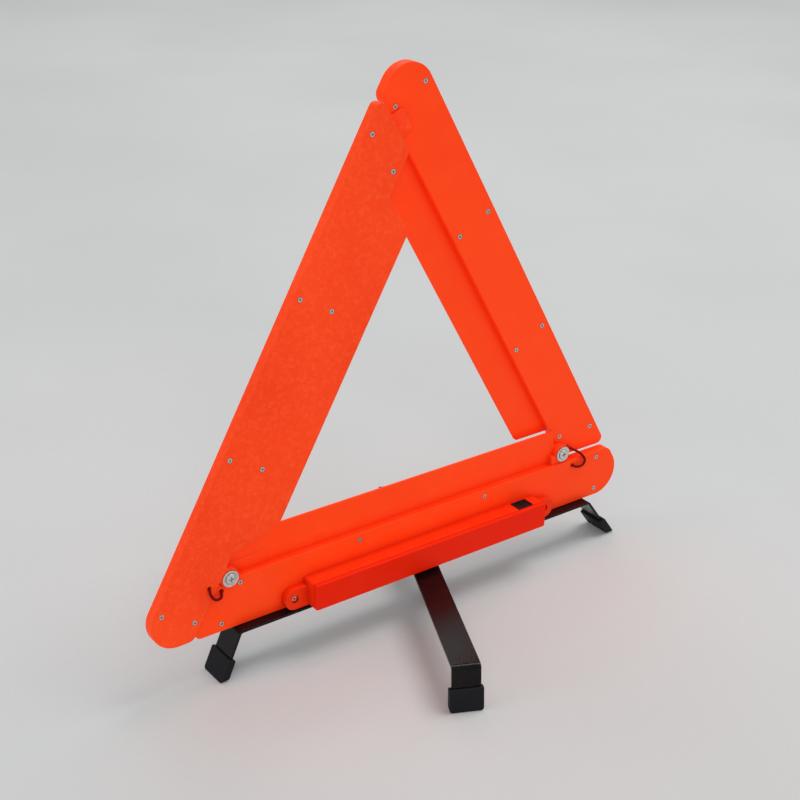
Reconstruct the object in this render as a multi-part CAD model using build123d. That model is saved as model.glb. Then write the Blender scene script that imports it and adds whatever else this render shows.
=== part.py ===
from build123d import *
from collections import namedtuple
import math
import os

# Folding LED warning triangle on swivelling strip legs.
# Frame: +Z up, the reflective face looks along -Y, the plain back along +Y.
# The origin is on the floor, at the centre of the whole object's footprint.
# "left" and "right" are as seen from behind, so left is +X.
#
# Each arm is drawn in its own directions: x along the arm, y out from the centre of the
# triangle, z from the arm's front face towards its back. Points of the whole triangle are
# given as (right, back, up) from its centre, as seen from behind.

# ------------------------------------------------------------ driving sizes
OUTER_Y = 144.34        # centre of the triangle to an outer edge (sharp side 500)
STEP_Y = 101.3          # inner edge of the deep housing band
INNER_Y = 71.2          # inner edge of the thin flange
DEPTH = 8.8             # depth of a housing
WALL = 1.8              # moulded wall
FLOOR = DEPTH - WALL    # inner face of a housing's back
END_R = 21.54           # radius of the rounded end
FAR_EDGE = 141.0        # rounded end, from the centre towards that neighbour
SHORT_EDGE = 99.6       # short end, from the centre towards the other neighbour
CENTRE_HEIGHT = 184.0   # centre of the triangle above the floor
GAP = 0.2               # half of the running gap between neighbouring arms
ORIGIN_X, ORIGIN_Y = -0.780, 17.216     # shift that centres the footprint

# front faces of the three arms, measured along +Y
RIGHT_FRONT = -GAP - DEPTH
BASE_FRONT = GAP
LEFT_FRONT = 3.2
LEFT_OPEN = 1.0         # the left arm opens this many degrees past 60

# small cross-head screws
HEAD_R, SHANK_R, SHANK_HOLE_R = 1.95, 1.15, 1.22
HEAD_DEPTH = 1.0
SCREW_SPOTS = [(x, 138.0) for x in (-207.3, -81.0, 45.5, 172.0)]
SCREW_SPOTS += [(x, 107.3) for x in (-207.3, -81.0, 45.5, 154.8)]

# pivots between neighbouring arms
ROUND_LUG = (-168.0, 93.5)      # on an arm that pivots at its rounded end
SHORT_LUG = (165.0, 98.7)       # on an arm that pivots at its short end
LEFT_PIVOT = (-SHORT_LUG[0], -SHORT_LUG[1])     # (right, up) of the pivots
RIGHT_PIVOT = (-ROUND_LUG[0], -ROUND_LUG[1])
PIVOT_R, PIVOT_HOLE_R = 2.5, 2.56               # M5 pivot screw
LUG_R = 8.0
BASE_LUG_TOP = 7.0              # base pivot lug: low, so the folded arm covers it

# where leads pass through the backs, in each arm's directions
RIGHT_LEAD = (169.86, 109.12)
LEFT_LEAD = (-179.1, 107.9)
BASE_LEAD_TO_RIGHT = (-178.6, 106.7)
BASE_LEAD_TO_LEFT = (171.2, 109.4)
BOX_LEAD = (-70.0, 128.0)
BOX_LEAD_R = 2.0

LEG_RIGHT, LEG_BACK = 18.8, 5.6         # bolt that carries both legs
BOLT_R, BOLT_HOLE_R = 2.5, 2.56

COS60, SIN60 = 0.5, math.sqrt(3) / 2
os.makedirs("parts", exist_ok=True)


# ------------------------------------------------------------ drawing helpers
def world(right, back, up):
    """Point of the triangle, from its centre, to the object's frame."""
    return (-right + ORIGIN_X, back - ORIGIN_Y, up + CENTRE_HEIGHT)


def cyl(x, y, z0, z1, radius):
    return Location((x, y, (z0 + z1) / 2)) * Cylinder(radius, z1 - z0)


def through(x, y, radius):
    """Cutter that passes through the whole depth of an arm."""
    return cyl(x, y, -1, DEPTH + 1, radius)


def slab(x0, x1, y0, y1, z0, z1):
    middle = ((x0 + x1) / 2, (y0 + y1) / 2, (z0 + z1) / 2)
    return Location(middle) * Box(x1 - x0, y1 - y0, z1 - z0)


def unit(x, y):
    length = math.hypot(x, y)
    return x / length, y / length


def round_corner(before, corner, after, radius):
    """Start, middle and end of the arc that rounds one corner."""
    x, y = corner
    in_x, in_y = unit(before[0] - x, before[1] - y)
    out_x, out_y = unit(after[0] - x, after[1] - y)
    mid_x, mid_y = unit(in_x + out_x, in_y + out_y)
    half = math.acos(in_x * out_x + in_y * out_y) / 2
    cut = radius / math.tan(half)
    reach = radius / math.sin(half) - radius
    return ((x + in_x * cut, y + in_y * cut),
            (x + mid_x * reach, y + mid_y * reach),
            (x + out_x * cut, y + out_y * cut))


def outline(points, radii):
    """Face bounded by straight edges and exact tangent arcs; radius 0 stays sharp."""
    count = len(points)
    corners = []
    for i, point in enumerate(points):
        if radii[i] > 0:
            after = points[(i + 1) % count]
            corners.append(round_corner(points[i - 1], point, after, radii[i]))
        else:
            corners.append((point, None, point))
    edges = []
    for i, (start, middle, end) in enumerate(corners):
        if middle is not None:
            edges.append(ThreePointArc(start, middle, end))
        edges.append(Line(end, corners[(i + 1) % count][0]))
    return make_face(Wire(edges))


def prism(points, radii, z0, z1):
    return Location((0, 0, z0)) * extrude(outline(points, radii), amount=z1 - z0, dir=(0, 0, 1))


def rounded_box(x0, x1, y0, y1, z0, z1, radius):
    return prism([(x0, y0), (x0, y1), (x1, y1), (x1, y0)], [radius] * 4, z0, z1)


def round_wire(points, radius):
    """Round section swept along a smooth curve through the points."""
    path = Spline(*points)
    start = Plane(origin=path @ 0, z_dir=path % 0)
    return sweep(start * Circle(radius), path=path)


def save(name, *shapes):
    """Write all solids of the shapes as one piece."""
    solids = [solid for shape in shapes for solid in shape.solids()]
    piece = solids[0] if len(solids) == 1 else Compound(children=solids)
    piece.label = name
    export_step(piece, "parts/" + name + ".step")


# ------------------------------------------------------------ the three arms
def arm_plane(right, up):
    """Arm directions, from the way the arm runs."""
    return Plane(origin=world(0, 0, 0), x_dir=(-right, 0, up), z_dir=(0, 1, 0))


# flange_z: front and back of the flange; flange_far: x of its inner and outer corner at the
# rounded end; flange_short: where it stops at the short end; board_end: x of the lamp board's end
Arm = namedtuple("Arm", "plane front turn flange_z flange_far flange_short board_end lamps")
ARMS = {
    "right": Arm(plane=arm_plane(COS60, -SIN60), front=RIGHT_FRONT, turn=0.0,
                 flange_z=(0.8, 2.4), flange_far=(-162.0, -173.0), flange_short=74.0,
                 board_end=160, lamps=10),
    "left": Arm(plane=arm_plane(COS60, SIN60), front=LEFT_FRONT, turn=LEFT_OPEN,
                flange_z=(DEPTH - 2.0, DEPTH), flange_far=(-117.0, -151.0), flange_short=68.0,
                board_end=150, lamps=9),
    "base": Arm(plane=arm_plane(-1.0, 0.0), front=BASE_FRONT, turn=0.0,
                flange_z=(0.8, 2.4), flange_far=(-160.0, -163.0), flange_short=101.0,
                board_end=148, lamps=9),
}


def place(shape, arm):
    """Seat a shape drawn in an arm's directions into the object's frame."""
    placed = arm.plane.location * Location((0, 0, arm.front)) * shape
    if arm.turn:
        x, y, z = world(LEFT_PIVOT[0], 0, LEFT_PIVOT[1])
        turn = Location((0, 0, 0), (0, arm.turn, 0))
        placed = Location((x, y, z)) * turn * Location((-x, -y, -z)) * placed
    return placed


def save_on_arm(kind, name, *shapes):
    save(name, *[place(shape, ARMS[kind]) for shape in shapes])


def turn_about_left_pivot(right, up, degrees):
    angle = math.radians(degrees)
    right, up = right - LEFT_PIVOT[0], up - LEFT_PIVOT[1]
    return (LEFT_PIVOT[0] + right * math.cos(angle) - up * math.sin(angle),
            LEFT_PIVOT[1] + right * math.sin(angle) + up * math.cos(angle))


def right_arm_point(x, y):
    """(right, up) of a point given in the right arm's directions."""
    return COS60 * x + SIN60 * y, -SIN60 * x + COS60 * y


def left_arm_point(x, y):
    """(right, up) of a point given in the opened left arm's directions."""
    return turn_about_left_pivot(COS60 * x - SIN60 * y, SIN60 * x + COS60 * y, LEFT_OPEN)


def right_to_left(x, y):
    """A point of the right arm in the opened left arm's directions."""
    right, up = turn_about_left_pivot(*right_arm_point(x, y), -LEFT_OPEN)
    return COS60 * right + SIN60 * up, -SIN60 * right + COS60 * up


def end_x(y, distance):
    """x, at height y, of the line this far from the centre towards the short end's neighbour."""
    return (distance + 0.5 * y) / SIN60


def housing(z0, z1, inset=0.0):
    outer, inner = OUTER_Y - inset, STEP_Y + inset
    far, short = FAR_EDGE - inset, SHORT_EDGE - inset
    points = [(-end_x(inner, far), inner), (-end_x(outer, far), outer),
              (end_x(outer, short), outer), (end_x(inner, short), inner)]
    return prism(points, [8.0 - inset, END_R - inset, 5.0 - inset, 4.5 - inset], z0, z1)


def flange(z0, z1, arm, inset=0.0):
    inner, outer = INNER_Y + inset, STEP_Y + 0.6 - inset
    far_inner, far_outer = arm.flange_far
    short = arm.flange_short - inset
    points = [(far_inner + inset, inner), (far_outer + inset, outer),
              (end_x(outer, short), outer), (end_x(inner, short), inner)]
    return prism(points, [4.0, 0, 0, 4.5 - inset], z0, z1)


LAMP_Y = 122.4                          # the lamps stand along the middle of the deep band
LAMP_X, LAMP_PITCH, LAMP_R = -190.0, 38.0, 2.4
BOARD_X, BOARD_HALF_W = -196, 5.0
BOARD_Z0, BOARD_Z1 = 3.9, 4.9
POSTS_X, POST_R = (-160.0, -62.0, 62.0, 140.0), 1.6
RIBS_X, RIB_HALF_T = (-144.0, -18.0, 108.0), 0.6
RIB_SPANS = ((STEP_Y + WALL - 0.2, 108.5), (135.5, OUTER_Y - WALL + 0.2))
LENS_BACK, LENS_BOSS_R = 2.0, 2.9


def plain_shell(arm):
    """Moulded back shell, open to the front, with its thin flange."""
    shell = housing(0, DEPTH) - housing(-1, FLOOR, inset=WALL)
    shell = shell + flange(*arm.flange_z, arm)
    # short ribs across the band stiffen the shell between the screws
    for x in RIBS_X:
        for y0, y1 in RIB_SPANS:
            shell = shell + slab(x - RIB_HALF_T, x + RIB_HALF_T, y0, y1, 3.2, FLOOR + 0.2)
    # posts that carry the lamp board
    for x in POSTS_X:
        shell = shell + cyl(x, LAMP_Y, BOARD_Z1 + 0.05, FLOOR + 0.2, POST_R)
    return shell


def plain_lens():
    """Reflector lens that closes the front, with bosses for the screws."""
    lens = housing(0.05, LENS_BACK, inset=WALL + 0.1)
    for x, y in SCREW_SPOTS:
        lens = lens + cyl(x, y, LENS_BACK - 0.1, FLOOR - 0.05, LENS_BOSS_R)
    return lens


def add_left_pivot(shell, lens, sheet):
    x, y = ROUND_LUG
    lug = cyl(x, y, 0, DEPTH, LUG_R) + slab(x - 5, x + 7, y, STEP_Y + 0.5, 0, DEPTH)
    shell = shell + lug
    lens = lens - through(x, y, LUG_R + 0.15)
    sheet = sheet - through(x, y, LUG_R + 0.3)
    shell = shell - through(x, y, PIVOT_HOLE_R)
    # relief that clears the other pivot when the arm is folded down
    relief_r = LUG_R + 1.3
    ring = cyl(*SHORT_LUG, 0, DEPTH, relief_r + 1.4) & housing(0, DEPTH)
    shell = (shell + ring) - cyl(*SHORT_LUG, -1, FLOOR + 0.05, relief_r)
    lens = lens - through(*SHORT_LUG, relief_r + 1.5)
    return shell, lens, sheet


def add_base_pivots(shell, lens, sheet):
    # lug for the right arm
    x, y = ROUND_LUG
    lug = cyl(x, y, 0, BASE_LUG_TOP, LUG_R)
    lug = lug + slab(x - 4, x + 12, y, STEP_Y + 0.5, 0, BASE_LUG_TOP)
    shell = shell + lug
    shell = shell - through(x, y, PIVOT_HOLE_R)
    lens = lens - through(x, y, LUG_R + 0.15)
    # thin tab in front that the left arm turns on
    tab_x, tab_y = SHORT_LUG
    tab_t, tab_r = 2.75, LUG_R + 2.2
    clearance = cyl(tab_x, tab_y, tab_t, DEPTH + 1, LUG_R + 0.8)
    ring = cyl(tab_x, tab_y, 0, DEPTH, tab_r) & housing(0, DEPTH)
    tab = cyl(tab_x, tab_y, 0, tab_t, tab_r)
    tab_root = slab(128, tab_x, tab_y - 8, STEP_Y + 0.5, 0.0, tab_t)
    shell = (shell + ring) - clearance
    shell = shell + tab + tab_root
    shell = shell - through(tab_x, tab_y, PIVOT_HOLE_R)
    lens = lens - through(tab_x, tab_y, tab_r + 0.15)
    sheet = sheet - slab(126.5, 200, 88, 104, -1, 3) - through(x, y, LUG_R + 0.3)
    sheet = sheet - slab(x - 6, x + 12.6, 93.0, 104, -1, 3)
    return shell, lens, sheet


def add_right_pivot(shell, lens, sheet):
    shell = shell + cyl(*SHORT_LUG, 0, DEPTH, LUG_R)
    shell = shell - through(*SHORT_LUG, PIVOT_HOLE_R)
    lens = lens - through(*SHORT_LUG, LUG_R + 0.15)
    return shell, lens, sheet


ADD_PIVOTS = {"left": add_left_pivot, "base": add_base_pivots, "right": add_right_pivot}


def cross_screw(x, y, tip, seat, top, recess):
    """Screw from its tip to the top of its head, with a cross cut down to the recess depth."""
    screw = cyl(x, y, seat + 0.02, top, HEAD_R) + cyl(x, y, tip, seat + 0.1, SHANK_R)
    for half_x, half_y in ((1.15, 0.34), (0.34, 1.15)):
        screw = screw - slab(x - half_x, x + half_x, y - half_y, y + half_y, recess, top + 1)
    return screw


def add_screws(shell, lens):
    """Counterbored holes in the shell, pilot holes in the lens, and the screws."""
    seat = DEPTH - HEAD_DEPTH
    screws = []
    for x, y in SCREW_SPOTS:
        shell = shell - cyl(x, y, FLOOR - 1, DEPTH + 1, SHANK_HOLE_R + 0.15)
        shell = shell - cyl(x, y, seat, DEPTH + 1, HEAD_R + 0.35)
        lens = lens - cyl(x, y, 2.3, DEPTH, SHANK_HOLE_R)
        screw = cross_screw(x, y, tip=2.6, seat=seat, top=DEPTH - 0.05, recess=DEPTH - 0.7)
        screws.append(screw - cyl(x, y, DEPTH - 0.8, DEPTH + 1, 0.66))
    return shell, lens, screws


def make_arm(kind):
    """Shell, lens, sheet in front of the flange, and screws."""
    arm = ARMS[kind]
    flange_front = arm.flange_z[0]
    sheet = flange(flange_front - 0.75, flange_front - 0.05, arm, inset=1.2)
    shell, lens, sheet = ADD_PIVOTS[kind](plain_shell(arm), plain_lens(), sheet)
    shell, lens, screws = add_screws(shell, lens)
    return shell, lens, sheet, screws


def save_arm(kind, shell, lens, sheet, screws):
    """Save an arm's pieces, with the lamp board and lamps inside it."""
    arm = ARMS[kind]
    board = slab(BOARD_X, arm.board_end, LAMP_Y - BOARD_HALF_W, LAMP_Y + BOARD_HALF_W,
                 BOARD_Z0, BOARD_Z1)
    lamps = [cyl(LAMP_X + LAMP_PITCH * k, LAMP_Y, LENS_BACK + 0.05, BOARD_Z0 - 0.05, LAMP_R)
             for k in range(arm.lamps)]
    save_on_arm(kind, kind + "_arm_shell", shell)
    save_on_arm(kind, kind + "_reflector_lens", lens)
    save_on_arm(kind, kind + "_fluorescent_sheet", sheet)
    save_on_arm(kind, kind + "_lamp_board", board)
    save_on_arm(kind, kind + "_lamps", *lamps)
    save_on_arm(kind, kind + "_arm_screws", *screws)


def lead_hole(x, y, radius=1.8):
    """Cutter for a lead's hole in the back of an arm."""
    return cyl(x, y, FLOOR - 1, DEPTH + 1, radius)


# ------------------------------------------------------------ right and left arm
def build_right_arm():
    shell, lens, sheet, screws = make_arm("right")
    save_arm("right", shell - lead_hole(*RIGHT_LEAD), lens, sheet, screws)


def latch_prism(points, radii, z0, z1):
    """Prism in the left arm, its outline given in the right arm's directions."""
    return prism([right_to_left(x, y) for x, y in points], radii, z0, z1)


def latch_box(x0, x1, y0, y1, z0, z1):
    return latch_prism([(x0, y0), (x0, y1), (x1, y1), (x1, y0)], [0] * 4, z0, z1)


def build_left_arm():
    """The latch tongue steps down from the short end and laps over the right arm's back."""
    shell, lens, sheet, screws = make_arm("left")
    tongue_z0, tongue_z1 = -LEFT_FRONT + 0.15, -LEFT_FRONT + 2.35
    tongue = latch_prism([(-205.2, 88.8), (-204.6, 111.6), (-186.4, 111.6), (-186.0, 88.8)],
                         [0, 3.0, 3.0, 0], tongue_z0, tongue_z1)
    riser = latch_box(-205.2, -186.0, 88.8, 93.8, tongue_z0, 2.2)
    body = latch_box(-207.0, -184.0, 87.4, 96.0, 0.05, FLOOR + 0.5)
    lens = lens - latch_box(-207.2, -183.8, 87.2, 99.0, -5, FLOOR - 0.02)
    shell = shell + (body & housing(0, DEPTH)) + riser + tongue
    shell = shell - lead_hole(*LEFT_LEAD)
    save_arm("left", shell, lens, sheet, screws)


# ------------------------------------------------------------ base arm
LEG_X, LEG_Z = -LEG_RIGHT, LEG_BACK - BASE_FRONT    # leg bolt in the base arm's directions
INSERT_R = 3.0

TAB_SPOTS = ((110.5, 135.4), (-143.5, 135.4))       # screws of the battery box tabs
TAB_R, TAB_T, TAB_SEAT = 8.9, 6.8, 3.8  # rounded tab, its depth, and the seat of its screw


def leg_bore(y0, y1, radius):
    """Cylinder on the leg bolt's axis, across the base arm."""
    return Location((LEG_X, (y0 + y1) / 2, LEG_Z), (90, 0, 0)) * Cylinder(radius, y1 - y0)


def build_base_arm():
    shell, lens, sheet, screws = make_arm("base")
    # solid block behind the lower edge that holds the leg bolt's insert
    shell = shell + slab(LEG_X - 7, LEG_X + 7, 134.0, OUTER_Y - 0.3, 2.15, DEPTH)
    shell = shell - leg_bore(134.8, 143.0, INSERT_R + 0.02) - leg_bore(140, 150, BOLT_HOLE_R)
    lens = lens - slab(LEG_X - 7.2, LEG_X + 7.2, 133.8, OUTER_Y, 2.05, DEPTH)
    # bosses inside for the battery box tabs
    for x, y in TAB_SPOTS:
        shell = shell + cyl(x, y, 2.2, FLOOR + 0.2, 3.0)
        shell = shell - cyl(x, y, 2.6, DEPTH + 1, SHANK_HOLE_R)
    # leads: to both arms and into the battery box
    shell = shell - lead_hole(*BASE_LEAD_TO_RIGHT)
    shell = shell - lead_hole(*BASE_LEAD_TO_LEFT, radius=2.1)
    shell = shell - lead_hole(*BOX_LEAD, radius=BOX_LEAD_R)
    save_arm("base", shell, lens, sheet, screws)
    insert = leg_bore(134.85, 142.95, INSERT_R) - leg_bore(130, 150, BOLT_HOLE_R)
    save_on_arm("base", "leg_bolt_insert", insert)


# ------------------------------------------------------------ battery box
# Drawn in the base arm's directions, standing on the back of that arm.
BOX_X0, BOX_X1 = -134.0, 99.0
BOX_Y0, BOX_Y1 = 121.8, 144.2
BOX_DEPTH, COVER_DEPTH, BOX_WALL = 18.6, 3.4, 1.8
COVER_BACK = DEPTH + BOX_DEPTH
RIM_Z = COVER_BACK - COVER_DEPTH        # rim of the tray
LIP_X0, LIP_X1 = -59.0, 96.9            # lip under the cover

SWITCH_X, SWITCH_Z = -115.0, 17.6
ROCKER_Y = BOX_Y0 + 2.7                 # axis of the rocker
ROCKER_TILT = 8.0


def box_block(grow, z0, z1, radius):
    """Rounded block with the box's outline grown on every side."""
    return rounded_box(BOX_X0 - grow, BOX_X1 + grow, BOX_Y0 - grow, BOX_Y1 + grow, z0, z1, radius)


def switch_slab(half_x, y0, y1, half_z, shift=0.0):
    """Block centred on the switch, y measured from the box's upper wall."""
    x = SWITCH_X + shift
    return slab(x - half_x, x + half_x, BOX_Y0 + y0, BOX_Y0 + y1,
                SWITCH_Z - half_z, SWITCH_Z + half_z)


def battery_box():
    tray = box_block(0, DEPTH, RIM_Z, 2.0)
    for x, y in TAB_SPOTS:
        edge = BOX_X1 - 1 if x > 0 else BOX_X0 + 1
        tray = tray + slab(min(x, edge), max(x, edge), y - TAB_R, y + TAB_R, DEPTH, DEPTH + TAB_T) \
            + cyl(x, y, DEPTH, DEPTH + TAB_T, TAB_R)
    tray = tray - box_block(-BOX_WALL, DEPTH + 1.8, RIM_Z + 1, 0.8)
    # cross walls either side of the control board, and three pegs under it
    for x in (-63.4, -101.2):
        tray = tray + slab(x, x + 1.2, BOX_Y0 + 1, BOX_Y1 - 1, DEPTH + 1.6, DEPTH + 12.5)
    for x, y in ((-68.5, 139.0), (-95.5, 139.0), (-95.5, 127.0)):
        tray = tray + cyl(x, y, DEPTH + 1.6, DEPTH + 3.4, 1.5)
    for x, y in TAB_SPOTS:
        tray = tray - cyl(x, y, DEPTH - 1, DEPTH + 5, SHANK_HOLE_R + 0.15) \
            - cyl(x, y, DEPTH + TAB_SEAT, DEPTH + 9, HEAD_R + 1.2)
    tray = tray - cyl(*BOX_LEAD, DEPTH - 1, DEPTH + 3, BOX_LEAD_R)
    # switch opening in the upper wall
    tray = tray - switch_slab(7.1, -1, BOX_WALL + 0.5, 5.0)
    # a shadow gap runs round the rim where the cover meets the tray
    return tray - (box_block(2, RIM_Z - 0.6, RIM_Z + 1, 2.0)
                   - box_block(-0.5, RIM_Z - 2, RIM_Z + 2, 1.5))


def battery_cover():
    cover = box_block(0, RIM_Z, COVER_BACK, 2.0)
    back_edges = cover.edges().filter_by(lambda e: abs(e.center().Z - COVER_BACK) < 1e-3)
    cover = fillet(back_edges, 0.9)
    cover = cover - box_block(-BOX_WALL, RIM_Z - 1, COVER_BACK - 1.6, 0.8)
    lip = rounded_box(LIP_X0, LIP_X1, BOX_Y0 + 1.95, BOX_Y1 - 1.95, RIM_Z - 1.6, RIM_Z + 1.0, 0.8)
    lip = lip - rounded_box(LIP_X0 + 1.2, LIP_X1 - 1.2, BOX_Y0 + 3.1, BOX_Y1 - 3.1,
                            RIM_Z - 3, RIM_Z + 2, 0.5)
    # strips that join the lip to the cover's long walls
    strips = slab(LIP_X0, LIP_X1, BOX_Y0 + 1.0, BOX_Y0 + 3.1, RIM_Z + 0.05, RIM_Z + 1.0) \
        + slab(LIP_X0, LIP_X1, BOX_Y1 - 3.1, BOX_Y1 - 1.0, RIM_Z + 0.05, RIM_Z + 1.0)
    return cover + lip + strips


# ------------------------------------------------------------ power
CELL_Y, CELL_Z, CELL_R = (BOX_Y0 + BOX_Y1) / 2, DEPTH + 9.4, 7.1
CELL_LENGTH, CELL_PITCH, CELL_TIP_X = 47.2, 49.4, 91.6
SPRING_TURNS, SPRING_WIRE_R = 2.5, 0.35
SPRING_R0, SPRING_R1 = 4.6, 2.6         # at the plate and at the cell


def cell_axis_cyl(x, radius, length):
    """Cylinder along the cells' axis, centred at x."""
    return Location((x, CELL_Y, CELL_Z), (0, 90, 0)) * Cylinder(radius, length)


def battery_cell(tip_x):
    body = cell_axis_cyl(tip_x - 1.4 - CELL_LENGTH / 2, CELL_R, CELL_LENGTH)
    body = fillet(body.edges(), 0.7)
    return body + cell_axis_cyl(tip_x - 0.8, 2.7, 1.5)


def spring(x0, x1):
    """Tapered spring, drawn as one swept wire along the cells' axis."""
    steps = int(SPRING_TURNS * 10)
    points = []
    for i in range(steps + 1):
        part = i / steps
        angle = 2 * math.pi * SPRING_TURNS * part
        radius = SPRING_R0 + (SPRING_R1 - SPRING_R0) * part
        points.append((x0 + (x1 - x0) * part,
                       CELL_Y + radius * math.cos(angle), CELL_Z + radius * math.sin(angle)))
    return round_wire(points, SPRING_WIRE_R)


def contact_plate(x):
    return slab(x, x + 0.5, CELL_Y - 5.5, CELL_Y + 5.5, CELL_Z - 6.0, CELL_Z + 3.6)


def control_board():
    """Board with a chip, a capacitor and a coil on it."""
    parts_z = DEPTH + 4.7
    return [slab(-98.0, -66.0, 125.0, 141.0, DEPTH + 3.45, DEPTH + 4.65),
            slab(-88.0, -80.0, 129.0, 134.0, parts_z, DEPTH + 6.2),
            cyl(-73.5, 136.0, parts_z, DEPTH + 12.0, 2.5),
            slab(-95.0, -91.0, 130.0, 136.0, parts_z, DEPTH + 7.4)]


def switch_housing():
    body = switch_slab(7.6, -0.75, -0.02, 5.6)
    body = body + switch_slab(7.0, -0.4, 12.2, 4.9)
    body = body - switch_slab(6.2, -2, 7.6, 4.05)
    body = body - Location((SWITCH_X, ROCKER_Y, SWITCH_Z)) * Cylinder(1.06, 12)
    for shift in (-3.4, 3.4):
        body = body + switch_slab(1.2, 12.0, 16.5, 0.3, shift)
    return body


def switch_rocker():
    # x along the box and y across it, from the rocker's axis
    profile = [(-5.4, -3.3), (-5.2, 0.6), (-2.0, 2.6), (2.0, 2.6), (5.2, 0.6), (5.4, -3.3),
               (0, -2.3)]
    rocker = prism(profile, [0.4, 0.8, 0.8, 0.8, 0.8, 0.4, 3.0], -3.9, 3.9)
    rocker = rocker + Cylinder(1.0, 9.6)
    return Location((SWITCH_X, ROCKER_Y, SWITCH_Z), (0, 0, ROCKER_TILT)) * rocker


def build_battery_box():
    cells = [battery_cell(CELL_TIP_X - k * CELL_PITCH) for k in range(3)]
    contacts = [contact_plate(96.2), contact_plate(-61.9), spring(95.6, 92.3), spring(-60.8, -58.2)]
    seat = DEPTH + TAB_SEAT
    screws = [cross_screw(x, y, tip=2.9, seat=seat, top=seat + 1.3, recess=seat + 0.5)
              for x, y in TAB_SPOTS]
    save_on_arm("base", "battery_box", battery_box())
    save_on_arm("base", "battery_cover", battery_cover())
    save_on_arm("base", "battery_cells", *cells)
    save_on_arm("base", "battery_contacts", *contacts)
    save_on_arm("base", "control_board", *control_board())
    save_on_arm("base", "switch_housing", switch_housing())
    save_on_arm("base", "switch_rocker", switch_rocker())
    save_on_arm("base", "battery_box_screws", *screws)


# ------------------------------------------------------------ pivots
def pivot_set(pivot, back, front):
    """Low-headed screw and big washer at the back, plain nut at the front."""
    right, up = pivot

    def disc(near, far, radius):
        middle = world(right, (near + far) / 2, up)
        return Location(middle, (90, 0, 0)) * Cylinder(radius, far - near)

    head_base = back + 0.96
    head_top = head_base + 1.2
    washer = disc(back + 0.03, back + 0.93, 6.8) - disc(back - 1, back + 2, PIVOT_HOLE_R)
    head = disc(head_base, head_top, 4.3)
    head = fillet(head.edges().sort_by(Axis.Y)[-1:], 0.7)
    screw = head + disc(front - 4.6, back + 1.2, PIVOT_R)
    recess = Location(world(right, head_top, up))
    screw = screw - recess * Box(4.4, 1.8, 0.85) - recess * Box(0.85, 1.8, 4.4)
    hexagon = RegularPolygon(4.0, 6, major_radius=False)
    nut = Location(world(right, front - 4.0, up), (-90, 0, 0)) * extrude(hexagon, amount=3.97)
    nut = nut - disc(front - 6, front + 1, PIVOT_HOLE_R)
    return screw, washer, nut


def build_pivots():
    left = pivot_set(LEFT_PIVOT, LEFT_FRONT + DEPTH, BASE_FRONT)
    right = pivot_set(RIGHT_PIVOT, BASE_FRONT + BASE_LUG_TOP, RIGHT_FRONT)
    for name, pair in zip(("pivot_screws", "pivot_washers", "pivot_nuts"), zip(left, right)):
        save(name, *pair)


# ------------------------------------------------------------ arm leads
def lead(points):
    """Lead through points given as (right, back, up)."""
    return round_wire([world(*point) for point in points], 1.1)


def build_leads():
    base_back = BASE_FRONT + DEPTH
    right, up = left_arm_point(*LEFT_LEAD)
    back = LEFT_FRONT + DEPTH
    save("left_arm_lead", lead([
        (right, back - 3.0, up), (right, back + 0.2, up), (right - 0.6, back + 3.0, up - 3.6),
        (right + 3.0, back + 2.6, up - 9.2), (right + 8.6, back + 0.2, up - 11.6),
        (-172.2, base_back + 1.9, -111.9), (-171.2, base_back - 0.6, -109.2),
        (-171.2, base_back - 3.0, -109.2)]))
    right, up = right_arm_point(*RIGHT_LEAD)
    end_right, end_up = -BASE_LEAD_TO_RIGHT[0], -BASE_LEAD_TO_RIGHT[1]
    save("right_arm_lead", lead([
        (right, -GAP - 3.2, up), (right, -GAP - 0.4, up), (right + 2.6, 3.6, up - 0.6),
        (right + 7.6, 8.6, up - 3.6), (right + 10.2, 11.4, up - 9.6),
        (right + 7.6, 12.2, up - 14.2), (right + 1.6, 11.4, up - 15.4),
        (end_right, base_back + 0.4, end_up), (end_right, base_back - 3.0, end_up)]))


# ------------------------------------------------------------ legs
# A leg is drawn with x along it from the bolt, y up from the floor, z across the strip.
# Each half of a leg is (bend, foot): distances from the bolt.
STRIP_W, STRIP_T = 22.6, 2.0
CAP_W = STRIP_W + 3.6
LONG_TOP = CENTRE_HEIGHT - OUTER_Y - 0.7
CROSS_TOP = LONG_TOP - STRIP_T - 0.5
LONG_RIGHT, LONG_LEFT = (176.7, 202.2), (179.5, 194.8)
CROSS_BACK, CROSS_FRONT = (154.5, 158.5), (129.0, 133.0)
CROSS_TURN = math.radians(24.35)
BOLT_X, BOLT_Y, _ = world(LEG_RIGHT, LEG_BACK, 0)


def leg_frame(right, back):
    """Leg directions, from the way its x runs."""
    return Plane(origin=(BOLT_X, BOLT_Y, 0), x_dir=(-right, back, 0), z_dir=(back, right, 0))


def leg_slope(half, top):
    bend, foot = half
    return math.atan2(top - STRIP_T - 2.0, foot - bend)


def half_profile(half, top):
    """Upper bend corner, upper and lower end corners, lower bend corner."""
    bend = half[0]
    slope = leg_slope(half, top)
    length = (top - 5.6) / math.sin(slope)
    end = (bend + length * math.cos(slope), top - length * math.sin(slope))
    end_low = (end[0] - STRIP_T * math.sin(slope), end[1] - STRIP_T * math.cos(slope))
    bend_low = (bend - STRIP_T * math.tan(slope / 2), top - STRIP_T)
    return (bend, top), end, end_low, bend_low


def leg_strip(half, other, top):
    """A strip bent down at both ends; the other half runs along -x."""
    mirrored = [(-x, y) for x, y in reversed(half_profile(other, top))]
    # reversed order: lower bend, lower end, upper end, upper bend
    strip = prism(mirrored + list(half_profile(half, top)),
                  [2.0, 0.3, 0.3, 4.0, 4.0, 0.3, 0.3, 2.0], -STRIP_W / 2, STRIP_W / 2)
    return strip - Location((0, top, 0), (90, 0, 0)) * Cylinder(BOLT_HOLE_R, 20)


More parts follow.
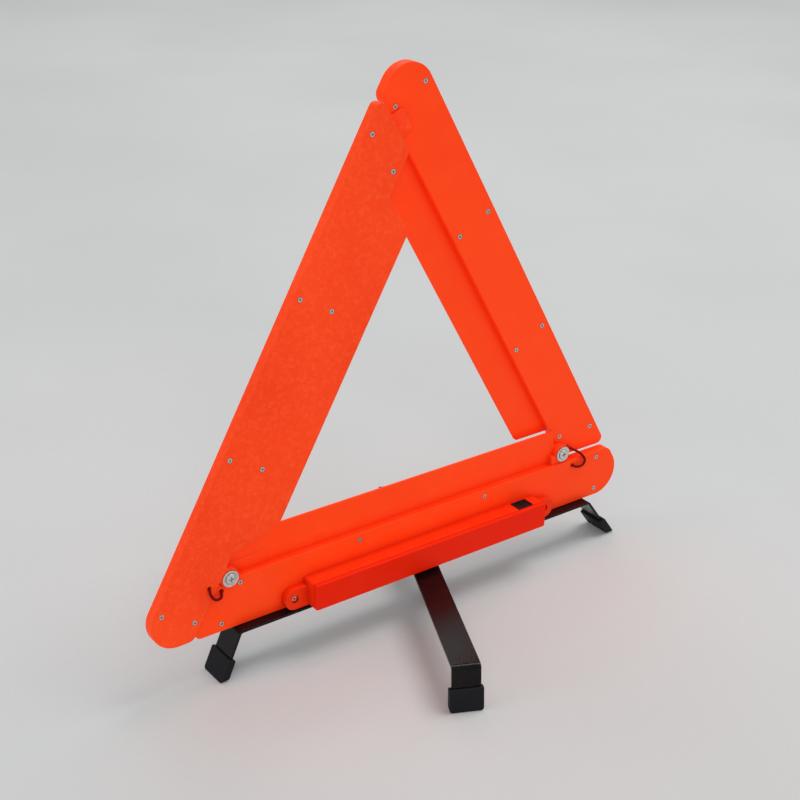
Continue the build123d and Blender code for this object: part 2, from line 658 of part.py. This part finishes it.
def foot_cap(half, top):
    """Cap on the end of a half, cut flat at the floor, with a slot for the strip."""
    _, end, end_low, _ = half_profile(half, top)
    x, y = (end[0] + end_low[0]) / 2, (end[1] + end_low[1]) / 2
    along = Location((x, y, 0), (0, 0, -math.degrees(leg_slope(half, top))))
    cap = along * Location((-2.0, 0, 0)) * Box(22, 6.2, CAP_W)
    cap = fillet(cap.edges().filter_by(Axis.Z), 1.2)
    slot = along * Location((-19.9, 0, 0)) * Box(40.0, STRIP_T + 0.1, STRIP_W + 0.1)
    cap = cap - Location((x, -20, 0)) * Box(80, 40, 60)
    floor_edges = cap.edges().filter_by(
        lambda e: abs(e.center().Y) < 1e-3 and abs(abs(e.center().Z) - CAP_W / 2) < 1e-3)
    return fillet(floor_edges, 2.2) - slot


def build_leg(name, frame, half, other, top):
    caps = [foot_cap(half, top), mirror(foot_cap(other, top), about=Plane.YZ)]
    save(name + "_strip", frame.location * leg_strip(half, other, top))
    save(name + "_feet", *[frame.location * cap for cap in caps])


def bolt_cyl(z0, z1, radius):
    """Upright cylinder on the leg bolt's axis."""
    return cyl(BOLT_X, BOLT_Y, z0, z1, radius)


def build_leg_bolt():
    under = CROSS_TOP - STRIP_T             # underside of the cross leg
    washers = [bolt_cyl(z0, z1, radius) - bolt_cyl(0, 80, BOLT_HOLE_R) for z0, z1, radius in (
        (LONG_TOP + 0.05, LONG_TOP + 0.65, 5.0),
        (CROSS_TOP + 0.05, CROSS_TOP + 0.45, 5.0),
        (under - 0.95, under - 0.05, 5.5))]
    bolt = bolt_cyl(under - 4.3, under - 1.0, 4.6)
    bolt = fillet(bolt.edges().sort_by(Axis.Z)[:1], 1.4)
    bolt = bolt + bolt_cyl(under - 1.3, CENTRE_HEIGHT - 135.6, BOLT_R)
    socket = extrude(RegularPolygon(1.5, 6, major_radius=False), amount=2.0, both=True)
    bolt = bolt - Location((BOLT_X, BOLT_Y, under - 4.3)) * socket
    save("leg_bolt", bolt)
    save("leg_washers", *washers)


build_right_arm()
build_left_arm()
build_base_arm()
build_battery_box()
build_pivots()
build_leads()
build_leg("long_leg", leg_frame(1.0, 0.0), LONG_RIGHT, LONG_LEFT, LONG_TOP)
build_leg("cross_leg", leg_frame(-math.sin(CROSS_TURN), math.cos(CROSS_TURN)),
          CROSS_BACK, CROSS_FRONT, CROSS_TOP)
build_leg_bolt()
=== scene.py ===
# A folding warning reflector with three lamp-lit arms, on two crossed leg strips.
# It stands in the XZ plane in metres, with its left side at +X, its right side at -X
# and the floor just under z = 0. The camera looks down at it from +X +Y.
import bpy
import bmesh
import math
from mathutils import Matrix, Vector


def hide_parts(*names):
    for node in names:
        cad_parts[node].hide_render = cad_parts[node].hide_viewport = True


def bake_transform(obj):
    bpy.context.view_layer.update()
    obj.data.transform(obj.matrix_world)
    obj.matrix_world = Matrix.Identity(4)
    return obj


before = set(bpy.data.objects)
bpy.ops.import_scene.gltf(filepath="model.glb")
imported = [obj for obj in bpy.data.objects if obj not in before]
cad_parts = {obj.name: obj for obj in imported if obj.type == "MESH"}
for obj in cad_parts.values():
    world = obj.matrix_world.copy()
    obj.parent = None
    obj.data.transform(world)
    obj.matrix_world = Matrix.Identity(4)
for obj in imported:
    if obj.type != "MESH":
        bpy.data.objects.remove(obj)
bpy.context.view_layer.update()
scene = bpy.context.scene

ARMS = ("right", "left", "base")
RAY_SAMPLES = 4           # rays for the rounded edges and the cavity masks

LEAD_RADIUS = 0.00106
LEAD_SIDES = 14           # vertices around a lead
LEAD_STEPS = 14           # rings between two path points

FLOOR_HALF = 9.0          # half the floor's side
FLOOR_CELLS = 60          # cells along each side
FLOOR_Z = -0.0004


# --------------------------------------------------------------- material builder
def srgb(*channels):
    """Linear colour from sRGB channels of 0 to 255."""
    def linear(c):
        return c / 12.92 if c <= 0.04045 else ((c + 0.055) / 1.055) ** 2.4
    return tuple(linear(c / 255) for c in channels)


class Mat:
    """One procedural material in object space. Colours are linear RGB tuples or sockets."""

    def __init__(self, name):
        self.material = bpy.data.materials.new(name)
        self.material.use_nodes = True
        self.tree = self.material.node_tree
        self.tree.nodes.clear()
        output = self.node("OutputMaterial")
        self.shader = self.node("BsdfPrincipled")
        self.tree.links.new(self.shader.outputs[0], output.inputs[0])
        self.coords = self.node("TexCoord").outputs["Object"]
        self.normal = None

    def feed(self, socket, value):
        """Links a socket to the input, or sets a plain value on it."""
        if isinstance(value, bpy.types.NodeSocket):
            self.tree.links.new(value, socket)
        else:
            socket.default_value = value

    def fill(self, node, inputs):
        for name, value in inputs.items():
            self.feed(node.inputs[name.replace("_", " ")], value)

    def node(self, kind, **inputs):
        """A new node; an underscore in an input's name stands for a space."""
        node = self.tree.nodes.new("ShaderNode" + kind)
        self.fill(node, inputs)
        return node

    def set(self, **inputs):
        """Sets or links inputs of the Principled shader."""
        self.fill(self.shader, inputs)

    def mapping(self, scale, rot=(0, 0, 0)):
        return self.node("Mapping", Scale=scale, Rotation=rot, Vector=self.coords).outputs[0]

    def axis(self, index):
        """Object coordinate: 0 is x, 2 is z."""
        return self.node("SeparateXYZ", Vector=self.coords).outputs[index]

    def noise(self, scale, detail=3.0, rough=0.55, warp=0.0, coords=None):
        return self.node("TexNoise", Scale=scale, Detail=detail, Roughness=rough,
                         Distortion=warp, Vector=coords or self.coords).outputs["Fac"]

    def voronoi(self, scale, out, coords=None):
        return self.node("TexVoronoi", Scale=scale, Vector=coords or self.coords).outputs[out]

    def remap(self, src, band=(0.35, 0.65), to=(0.0, 1.0)):
        """Maps the band of src onto the range to, clamped."""
        return self.node("MapRange", From_Min=band[0], From_Max=band[1],
                         To_Min=to[0], To_Max=to[1], Value=src).outputs[0]

    def math(self, operation, *values):
        node = self.node("Math")
        node.operation = operation
        for socket, value in zip(node.inputs, values):
            self.feed(socket, value)
        return node.outputs[0]

    def ridge(self, value):
        """A zigzag from 0.5 at each whole number down to 0 halfway between."""
        centred = self.math("SUBTRACT", self.math("FRACT", value), 0.5)
        return self.math("ABSOLUTE", centred)

    def mix(self, factor, a, b):
        node = self.node("Mix")
        node.data_type = "RGBA"
        self.feed(node.inputs[0], factor)
        for index, value in ((6, a), (7, b)):
            self.feed(node.inputs[index], (*value, 1) if isinstance(value, tuple) else value)
        return node.outputs[2]

    def fade(self, src, a, b, band=(0.35, 0.65), amount=1.0):
        """Goes from a towards b, by up to amount, as src crosses the band."""
        return self.mix(self.remap(src, band=band, to=(0.0, amount)), a, b)

    def round_edges(self, radius):
        """Starts the normal from rounded edges."""
        node = self.node("Bevel", Radius=radius)
        node.samples = RAY_SAMPLES
        self.normal = node.outputs[0]

    def edge_mask(self, radius):
        """Rounds the edges and returns a mask that is 1 right on them."""
        self.round_edges(radius)
        geometry = self.node("NewGeometry")
        dot = self.node("VectorMath")
        dot.operation = "DOT_PRODUCT"
        self.feed(dot.inputs[0], self.normal)
        self.feed(dot.inputs[1], geometry.outputs["Normal"])
        return self.remap(dot.outputs["Value"], band=(0.86, 0.985), to=(1.0, 0.0))

    def cavity(self, distance):
        """1 in narrow gaps and along inner corners, 0 on open faces."""
        node = self.node("AmbientOcclusion", Distance=distance)
        node.samples = RAY_SAMPLES
        return self.remap(node.outputs["AO"], band=(0.35, 0.92), to=(1.0, 0.0))

    def bump(self, *layers):
        """Stacks relief layers, each (height socket, depth in metres)."""
        for height, depth in layers:
            node = self.node("Bump", Strength=1.0, Distance=depth, Height=height)
            if self.normal is not None:
                self.feed(node.inputs["Normal"], self.normal)
            self.normal = node.outputs[0]
        self.set(Normal=self.normal)


# --------------------------------------------------------------- materials
def moulded_plastic(name, base, dark, light, rough, painted_glow, grain=1.0, mottle=0.0,
                    edge_radius=0.0006, specular=0.14):
    """Moulded ABS: spark-eroded grain, flow marks, handling scuffs, paler edges that are partly
    wear and partly painted highlight, painted shade in inner corners, and a painted glow.
    """
    m = Mat(name)
    edge = m.edge_mask(edge_radius)
    big = m.noise(scale=7.0, rough=0.5)
    mid = m.noise(scale=60.0, detail=4.0, rough=0.6)
    fine = m.noise(scale=2600.0, detail=2.0, rough=0.6)
    flow = m.noise(scale=16.0, detail=2.0, rough=0.5, warp=1.0,
                   coords=m.mapping(scale=(1.0, 1.0, 4.0)))
    c = m.fade(big, dark, base, band=(0.3, 0.7))
    c = m.fade(mid, c, light, band=(0.45, 0.75), amount=0.10)
    c = m.fade(flow, c, dark, band=(0.5, 0.75), amount=0.10)
    if mottle:
        pale = m.noise(scale=300.0, detail=4.0, rough=0.7)
        c = m.fade(pale, c, light, band=(0.48, 0.66), amount=mottle)
        deep = m.noise(scale=420.0, rough=0.6)
        c = m.fade(deep, c, dark, band=(0.55, 0.70), amount=mottle)
    # hairline scuffs in two directions
    scuff_a = m.noise(scale=90.0, rough=0.6,
                      coords=m.mapping(scale=(0.25, 1.0, 14.0), rot=(0, 0.6, 0)))
    scuff_b = m.noise(scale=80.0, rough=0.6,
                      coords=m.mapping(scale=(12.0, 1.0, 0.3), rot=(0, 0.35, 0)))
    scuffs = m.math("MAXIMUM", m.remap(scuff_a, band=(0.68, 0.72)),
                    m.remap(scuff_b, band=(0.69, 0.73)))
    c = m.mix(m.math("MULTIPLY", scuffs, 0.10), c, light)
    # a little grime that gathers in specks
    specks = m.noise(scale=700.0, detail=2.0, rough=0.5)
    c = m.fade(specks, c, srgb(150, 40, 22), band=(0.70, 0.76), amount=0.22)
    # paler edges: partly wear, partly a painted highlight along the rounded edges
    wear_and_highlight = m.remap(m.noise(scale=160.0), band=(0.4, 0.6), to=(0.25, 0.75))
    c = m.mix(m.math("MULTIPLY", edge, wear_and_highlight), c, light)
    # painted shade: inner corners and step walls are darkened towards a deep red by an
    # ambient-occlusion mask
    corner_shade_red = (0.62 * base[0], 0.008, 0.0005)
    c = m.mix(m.math("MULTIPLY", m.cavity(distance=0.010), 0.85), c, corner_shade_red)
    satin = m.remap(mid, to=(rough - 0.04, rough + 0.06))
    # the emission is a painted glow, added to the plastic whatever the lamps do
    m.set(Base_Color=c, Roughness=m.math("ADD", satin, m.math("MULTIPLY", scuffs, 0.08)),
          IOR=1.45, Specular_IOR_Level=specular, Emission_Color=c, Emission_Strength=painted_glow)
    m.bump((big, 0.0002), (fine, 0.00002 * grain),
           (m.noise(scale=700.0, rough=0.6), 0.00002 * grain), (scuffs, -0.00001))
    return m.material


def reflector(name):
    """Prismatic reflector: rows of small corner prisms, in tiles painted lighter or darker as a
    painted highlight.
    """
    m = Mat(name)
    x, z = m.axis(0), m.axis(2)
    pitch = 0.0024
    rows = []
    for degrees in (0, 60, 120):
        angle = math.radians(degrees)
        rows.append(m.ridge(m.math("ADD", m.math("MULTIPLY", x, math.cos(angle) / pitch),
                                   m.math("MULTIPLY", z, math.sin(angle) / pitch))))
    prisms = m.math("MINIMUM", m.math("MINIMUM", rows[0], rows[1]), rows[2])
    # y is flattened, so the tiles run straight through the lens
    tile_painted_light = m.voronoi(scale=32.0, out="Color", coords=m.mapping(scale=(1.0, 0.001, 1.0)))
    line = m.remap(prisms, band=(0.0, 0.07), to=(1.0, 0.0))
    # painted highlight: each tile is painted a little lighter or darker, as if it caught the
    # light differently
    c = m.fade(tile_painted_light, (0.62, 0.010, 0.009), (0.74, 0.015, 0.012), band=(0.0, 1.0))
    c = m.mix(m.math("MULTIPLY", line, 0.55), c, (0.22, 0.002, 0.002))
    c = m.fade(m.noise(scale=120.0, detail=4.0), c, (0.95, 0.25, 0.18),
               band=(0.5, 0.75), amount=0.12)
    m.set(Base_Color=c, Roughness=m.remap(m.noise(scale=60.0), to=(0.10, 0.24)),
          Coat_Weight=0.6, Coat_Roughness=0.08, Specular_IOR_Level=0.6)
    m.bump((prisms, 0.0006), (m.noise(scale=900.0, detail=2.0), 0.000006))
    return m.material


def fluoro(name):
    """Fluorescent film with the fine lattice of an embossed sheet."""
    m = Mat(name)
    x, z = m.axis(0), m.axis(2)
    pitch = 0.0016
    rising, falling = (m.ridge(m.math("MULTIPLY", m.math(sign, x, z), 1 / pitch))
                       for sign in ("ADD", "SUBTRACT"))
    lattice = m.math("MINIMUM", rising, falling)
    line = m.remap(lattice, band=(0.0, 0.10), to=(1.0, 0.0))
    c = m.fade(m.noise(scale=14.0), srgb(255, 58, 22), srgb(255, 84, 34))
    c = m.mix(m.math("MULTIPLY", line, 0.35), c, srgb(255, 140, 96))
    # the emission is a painted glow standing in for the film's fluorescence
    m.set(Base_Color=c, Emission_Color=c, Emission_Strength=0.10,
          Roughness=m.remap(m.noise(scale=45.0), to=(0.30, 0.46)))
    m.bump((lattice, 0.00012), (m.noise(scale=300.0), 0.00002))
    return m.material


def zinc(name):
    """Zinc plate: clouded grey, stretched streaks, brown specks, and painted shade in recesses
    and gaps.
    """
    m = Mat(name)
    streaks = m.noise(scale=420.0, detail=4.0, rough=0.65,
                      coords=m.mapping(scale=(1.0, 0.3, 6.0)))
    clouds = m.noise(scale=260.0, rough=0.6)
    c = m.fade(clouds, (0.62, 0.62, 0.60), (0.80, 0.80, 0.77))
    c = m.fade(m.noise(scale=900.0, detail=2.0), c, (0.42, 0.38, 0.30),
               band=(0.58, 0.70), amount=0.35)
    # painted shade: recesses and the gaps around heads are darkened by an ambient-occlusion mask
    gaps = m.math("MULTIPLY", m.cavity(distance=0.0009), 0.9)
    c = m.mix(gaps, c, (0.035, 0.03, 0.026))
    m.set(Base_Color=c, Metallic=1.0, Roughness=m.remap(streaks, to=(0.30, 0.48)))
    m.round_edges(radius=0.0002)
    m.bump((streaks, 0.00002), (m.noise(scale=3000.0, detail=2.0), 0.000004))
    return m.material


def brass(name):
    """Brass with a fine grain drawn out along z."""
    m = Mat(name)
    grain = m.noise(scale=1500.0, detail=2.0, rough=0.5, coords=m.mapping(scale=(1, 1, 0.2)))
    m.set(Base_Color=m.fade(grain, (0.62, 0.42, 0.16), (0.82, 0.60, 0.27), band=(0.4, 0.6)),
          Metallic=1.0, Roughness=m.remap(grain, to=(0.25, 0.42)))
    m.bump((grain, 0.00005))
    return m.material


def powder_steel(name):
    """Satin black powder coat: orange peel, patches of dust, paler edges that are partly rubbed
    coat and partly painted highlight.
    """
    m = Mat(name)
    peel = m.noise(scale=900.0, detail=2.0, rough=0.5)
    blot = m.noise(scale=40.0, detail=4.0, rough=0.6)
    c = m.fade(blot, (0.0040, 0.0030, 0.0034), (0.0075, 0.0056, 0.0062), band=(0.35, 0.7))
    # paler edges: partly rubbed coat, partly a painted highlight
    rub_and_highlight = m.remap(m.noise(scale=200.0), band=(0.42, 0.6), to=(0.1, 0.9))
    c = m.mix(m.math("MULTIPLY", m.edge_mask(radius=0.0004), rub_and_highlight), c, (0.030, 0.028, 0.028))
    dust = m.noise(scale=330.0, detail=5.0, rough=0.7)
    c = m.fade(dust, c, (0.16, 0.145, 0.135), band=(0.58, 0.75), amount=0.05)
    m.set(Base_Color=c, Roughness=m.remap(blot, to=(0.10, 0.17)), Specular_IOR_Level=0.17)
    m.bump((peel, 0.00012), (m.noise(scale=2400.0, detail=2.0), 0.00003))
    return m.material


def black_rubber(name):
    """Matt rubber with patches of dust and slightly paler edges."""
    m = Mat(name)
    fine = m.noise(scale=2400.0, rough=0.6)
    blot = m.noise(scale=70.0, detail=4.0, rough=0.6)
    c = m.fade(blot, (0.0055, 0.0062, 0.0078), (0.0088, 0.0096, 0.0118))
    dust = m.noise(scale=500.0, detail=5.0, rough=0.7)
    c = m.fade(dust, c, (0.12, 0.115, 0.11), band=(0.58, 0.75), amount=0.07)
    c = m.mix(m.math("MULTIPLY", m.edge_mask(radius=0.0009), 0.4), c, (0.035, 0.036, 0.038))
    m.set(Base_Color=c, Roughness=m.remap(blot, to=(0.52, 0.70)), Specular_IOR_Level=0.18)
    m.bump((fine, 0.00003), (blot, 0.0002))
    return m.material


def black_plastic(name):
    """Black plastic with a pebbled grain and slightly paler edges."""
    m = Mat(name)
    pebbles = m.voronoi(scale=1900.0, out="Distance")
    c = m.fade(m.noise(scale=300.0), (0.007, 0.007, 0.008), (0.014, 0.014, 0.015),
               band=(0.4, 0.6))
    c = m.mix(m.math("MULTIPLY", m.edge_mask(radius=0.0003), 0.5), c, (0.04, 0.04, 0.042))
    m.set(Base_Color=c, Specular_IOR_Level=0.12,
          Roughness=m.remap(m.noise(scale=200.0), to=(0.30, 0.44)))
    m.bump((pebbles, 0.00002))
    return m.material


def sleeve(name):
    """Dark red lead sleeve."""
    m = Mat(name)
    grain = m.noise(scale=1400.0, rough=0.6)
    m.set(Base_Color=m.fade(grain, (0.150, 0.0016, 0.001), (0.230, 0.003, 0.002)),
          Roughness=m.remap(m.noise(scale=400.0, detail=2.0), to=(0.40, 0.55)),
          Specular_IOR_Level=0.08)
    m.bump((grain, 0.00004))
    return m.material


def board(name):
    """Green circuit board with thin diagonal lines."""
    m = Mat(name)
    x, z = m.axis(0), m.axis(2)
    lines_per_metre = 260.0
    across = m.math("MULTIPLY", m.math("ADD", x, z), lines_per_metre)
    line = m.remap(m.ridge(across), band=(0.10, 0.16), to=(1.0, 0.0))
    c = m.mix(m.math("MULTIPLY", line, 0.5), (0.010, 0.095, 0.030), (0.03, 0.20, 0.07))
    c = m.fade(m.noise(scale=300.0), c, (0.02, 0.13, 0.05), band=(0.5, 0.7), amount=0.3)
    m.set(Base_Color=c,
          Roughness=m.remap(m.noise(scale=200.0, detail=2.0), to=(0.25, 0.4)))
    m.bump((line, 0.00004))
    return m.material


def lamp(name):
    """Glossy, partly clear red."""
    m = Mat(name)
    m.set(Base_Color=m.fade(m.noise(scale=600.0), (0.75, 0.02, 0.015), (0.95, 0.06, 0.04)),
          Roughness=m.remap(m.noise(scale=900.0, detail=2.0), to=(0.06, 0.16)),
          Transmission_Weight=0.45, IOR=1.5)
    m.bump((m.noise(scale=1200.0, detail=2.0), 0.00001))
    return m.material


def wrap(name):
    """Plain two-tone cell sleeve, banded along x."""
    m = Mat(name)
    band_pitch, band_shift = 0.0494, 0.012
    along = m.math("MULTIPLY", m.math("ADD", m.axis(0), band_shift), 1 / band_pitch)
    c = m.fade(m.math("FRACT", along), (0.02, 0.02, 0.025), (0.55, 0.33, 0.10),
               band=(0.68, 0.70))
    c = m.fade(m.noise(scale=300.0, detail=4.0), c, (0.12, 0.12, 0.12),
               band=(0.5, 0.7), amount=0.2)
    m.set(Base_Color=c,
          Roughness=m.remap(m.noise(scale=150.0, detail=2.0), to=(0.2, 0.34)))
    m.bump((m.noise(scale=700.0, detail=2.0), 0.00002))
    return m.material


def paper(name):
    """Pale paper with fine fibres and soft slanting creases."""
    m = Mat(name)
    big = m.noise(scale=1.6, rough=0.5)
    fibres = m.noise(scale=180.0, detail=4.0, rough=0.6)
    c = m.fade(big, srgb(201, 202, 201), srgb(207, 208, 207))
    c = m.fade(fibres, c, srgb(194, 195, 194), band=(0.4, 0.7), amount=0.12)
    m.set(Base_Color=c, Roughness=0.85, Specular_IOR_Level=0.2)
    creases = m.noise(scale=5.0, detail=4.0, warp=0.6,
                      coords=m.mapping(scale=(1.0, 0.5, 1.0), rot=(0, 0, 0.5)))
    m.bump((creases, 0.004), (fibres, 0.0002))
    return m.material


def on_arms(part):
    return [f"{arm}_{part}" for arm in ARMS]


# each material and the pieces that wear it
LOOKS = (
    (moulded_plastic("orange_abs_case", base=(0.99, 0.0590, 0.0055),
                     dark=(0.95, 0.049, 0.0045), light=(1.0, 0.13, 0.035),
                     rough=0.42, painted_glow=0.27),
     ["right_arm_shell", "base_arm_shell"]),
    (moulded_plastic("orange_abs_grained_case", base=(0.93, 0.0590, 0.0075),
                     dark=(0.83, 0.042, 0.005), light=(1.0, 0.115, 0.035),
                     rough=0.50, painted_glow=0.30, grain=2.6, mottle=0.34),
     ["left_arm_shell"]),
    (moulded_plastic("orange_abs_box", base=(0.84, 0.036, 0.0025),
                     dark=(0.90, 0.029, 0.002), light=(1.0, 0.10, 0.025),
                     rough=0.42, painted_glow=0.14, grain=1.2, edge_radius=0.0008, specular=0.10),
     ["battery_box"]),
    (moulded_plastic("orange_abs_cover", base=(0.90, 0.0185, 0.0012),
                     dark=(0.85, 0.015, 0.001), light=(0.96, 0.060, 0.018),
                     rough=0.45, painted_glow=0.15, grain=1.2, edge_radius=0.0009, specular=0.09),
     ["battery_cover"]),
    (zinc("zinc_plated_steel"),
     ["battery_contacts", "battery_box_screws", "pivot_screws", "pivot_washers",
      "pivot_nuts", "leg_bolt", "leg_washers", *on_arms("arm_screws")]),
    (powder_steel("black_powder_steel"), ["long_leg_strip", "cross_leg_strip"]),
    (black_rubber("black_foot_rubber"), ["long_leg_feet", "cross_leg_feet"]),
    (black_plastic("black_switch_plastic"), ["switch_housing", "switch_rocker"]),
    (sleeve("dark_red_sleeve"), ["left_arm_lead", "right_arm_lead"]),
    (board("green_board"), ["control_board", *on_arms("lamp_board")]),
    (reflector("red_prism_lens"), on_arms("reflector_lens")),
    (fluoro("fluorescent_film"), on_arms("fluorescent_sheet")),
    (lamp("red_lamp"), on_arms("lamps")),
    (brass("machined_brass"), ["leg_bolt_insert"]),
    (wrap("cell_sleeve"), ["battery_cells"]),
)
LOOK = {piece: material for material, pieces in LOOKS for piece in pieces}

for name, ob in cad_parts.items():
    ob.data.materials.clear()
    ob.data.materials.append(LOOK[name])


# --------------------------------------------------------------- arm leads
def mesh_object(name, bm):
    """Turns the bmesh into a linked object and frees it."""
    mesh = bpy.data.meshes.new(name)
    bm.to_mesh(mesh)
    bm.free()
    ob = bpy.data.objects.new(name, mesh)
    scene.collection.objects.link(ob)
    return ob


def smooth_path(points):
    """A Catmull-Rom curve through the points."""
    path = []
    last = len(points) - 1
    for i in range(last):
        p0, p1, p2, p3 = points[max(i - 1, 0)], points[i], points[i + 1], points[min(i + 2, last)]
        for k in range(LEAD_STEPS):
            t = k / LEAD_STEPS
            path.append(0.5 * ((2 * p1) + (p2 - p0) * t + (2 * p0 - 5 * p1 + 4 * p2 - p3) * t * t
                               + (3 * p1 - p0 - 3 * p2 + p3) * t * t * t))
    path.append(points[-1])
    return path


def tube(name, points, material):
    """A round lead with a slight ripple in its radius, as one closed mesh."""
    path = smooth_path(points)
    bm = bmesh.new()
    rings = []
    # each ring takes its first direction from the one before, so the tube does not twist
    side = Vector((0.3, 0.2, 1)).normalized()
    for i, centre in enumerate(path):
        ahead = (path[min(i + 1, len(path) - 1)] - path[max(i - 1, 0)]).normalized()
        side = (side - ahead * side.dot(ahead)).normalized()
        across = ahead.cross(side)
        radius = LEAD_RADIUS * (1.0 + 0.03 * math.sin(i * 0.9))
        ring = []
        for k in range(LEAD_SIDES):
            angle = 2 * math.pi * k / LEAD_SIDES
            offset = side * math.cos(angle) + across * math.sin(angle)
            ring.append(bm.verts.new(centre + offset * radius))
        rings.append(ring)
    for r0, r1 in zip(rings, rings[1:]):
        for k in range(LEAD_SIDES):
            after = (k + 1) % LEAD_SIDES
            bm.faces.new((r0[k], r0[after], r1[after], r1[k]))
    bm.faces.new(list(reversed(rings[0])))
    bm.faces.new(rings[-1])
    bmesh.ops.recalc_face_normals(bm, faces=bm.faces)
    ob = mesh_object(name, bm)
    for face in ob.data.polygons:
        face.use_smooth = True
    ob.data.materials.append(material)
    return ob


# x, y, z along each lead, from its arm end to its base end
LEADS = {
    "left": [
        (0.182169, -0.008216, 0.082531), (0.182169, -0.005016, 0.082531),
        (0.182769, -0.002216, 0.078931), (0.179169, -0.002616, 0.073331),
        (0.173569, -0.005016, 0.070931), (0.17142, -0.006316, 0.0721),
        (0.17042, -0.008816, 0.0748), (0.17042, -0.011216, 0.0748)],
    "right": [
        (-0.180210, -0.020616, 0.091460), (-0.180210, -0.017816, 0.091460),
        (-0.182800, -0.014216, 0.089900), (-0.188300, -0.009016, 0.086400),
        (-0.191926, -0.006016, 0.080700), (-0.189326, -0.005216, 0.076200),
        (-0.183326, -0.005816, 0.075600), (-0.179380, -0.007816, 0.077300),
        (-0.179380, -0.011216, 0.077300)]}

for side, stations in LEADS.items():
    points = [Vector(p) for p in stations]
    lead = tube(side + "_lead_sleeve", points, LOOK[side + "_arm_lead"])
    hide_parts(side + "_arm_lead")
    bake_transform(lead)


# --------------------------------------------------------------- floor, light, camera
def floor():
    bm = bmesh.new()
    n = FLOOR_CELLS
    steps = [(i / n - 0.5) * 2 * FLOOR_HALF for i in range(n + 1)]
    grid = [[bm.verts.new((x, y, FLOOR_Z)) for y in steps] for x in steps]
    for i in range(n):
        for j in range(n):
            bm.faces.new((grid[i][j], grid[i + 1][j], grid[i + 1][j + 1], grid[i][j + 1]))
    ob = mesh_object("floor", bm)
    ob.data.materials.append(paper("pale_paper_floor"))


def softbox(name, location, aim_z, size, power):
    """A round area light aimed at a point on the z axis."""
    light = bpy.data.lights.new(name, "AREA")
    light.shape = "DISK"
    light.size = size
    light.energy = power
    ob = bpy.data.objects.new(name, light)
    ob.location = location
    ob.rotation_mode = "QUATERNION"
    aim = Vector((0, 0, aim_z)) - Vector(location)
    ob.rotation_quaternion = aim.to_track_quat("-Z", "Y")
    scene.collection.objects.link(ob)


def studio_world():
    world = bpy.data.worlds.new("studio")
    scene.world = world
    world.use_nodes = True
    background = world.node_tree.nodes["Background"]
    background.inputs["Color"].default_value = (0.97, 0.98, 1.0, 1)
    background.inputs["Strength"].default_value = 0.50


def camera():
    data = bpy.data.cameras.new("camera")
    ob = bpy.data.objects.new("camera", data)
    scene.collection.objects.link(ob)
    scene.camera = ob
    data.sensor_width = 36.0    # mm
    data.lens = 68.2911         # mm
    data.clip_start, data.clip_end = 0.02, 60
    # the camera's own axes in the scene
    right = Vector((-0.80837, 0.58844, 0.01669))
    up = Vector((-0.23979, -0.35505, 0.90357))
    back = Vector((0.53762, 0.72642, 0.42812))
    ob.rotation_mode = "QUATERNION"
    ob.rotation_quaternion = Matrix((right, up, back)).transposed().to_quaternion()
    ob.location = (0.637456, 0.842364, 0.69091)


floor()
softbox("overhead_softbox", (-1.7, 0.1, 3.9), aim_z=0.1, size=2.6, power=83)
softbox("camera_side_softbox", (1.7, 2.6, 1.9), aim_z=0.2, size=1.8, power=22)
softbox("front_softbox", (-1.2, -2.6, 1.9), aim_z=0.2, size=1.8, power=8)
softbox("left_side_softbox", (2.6, -0.5, 1.3), aim_z=0.2, size=1.4, power=9)
studio_world()
scene.view_settings.view_transform = "Standard"
scene.view_settings.look = "None"
camera()
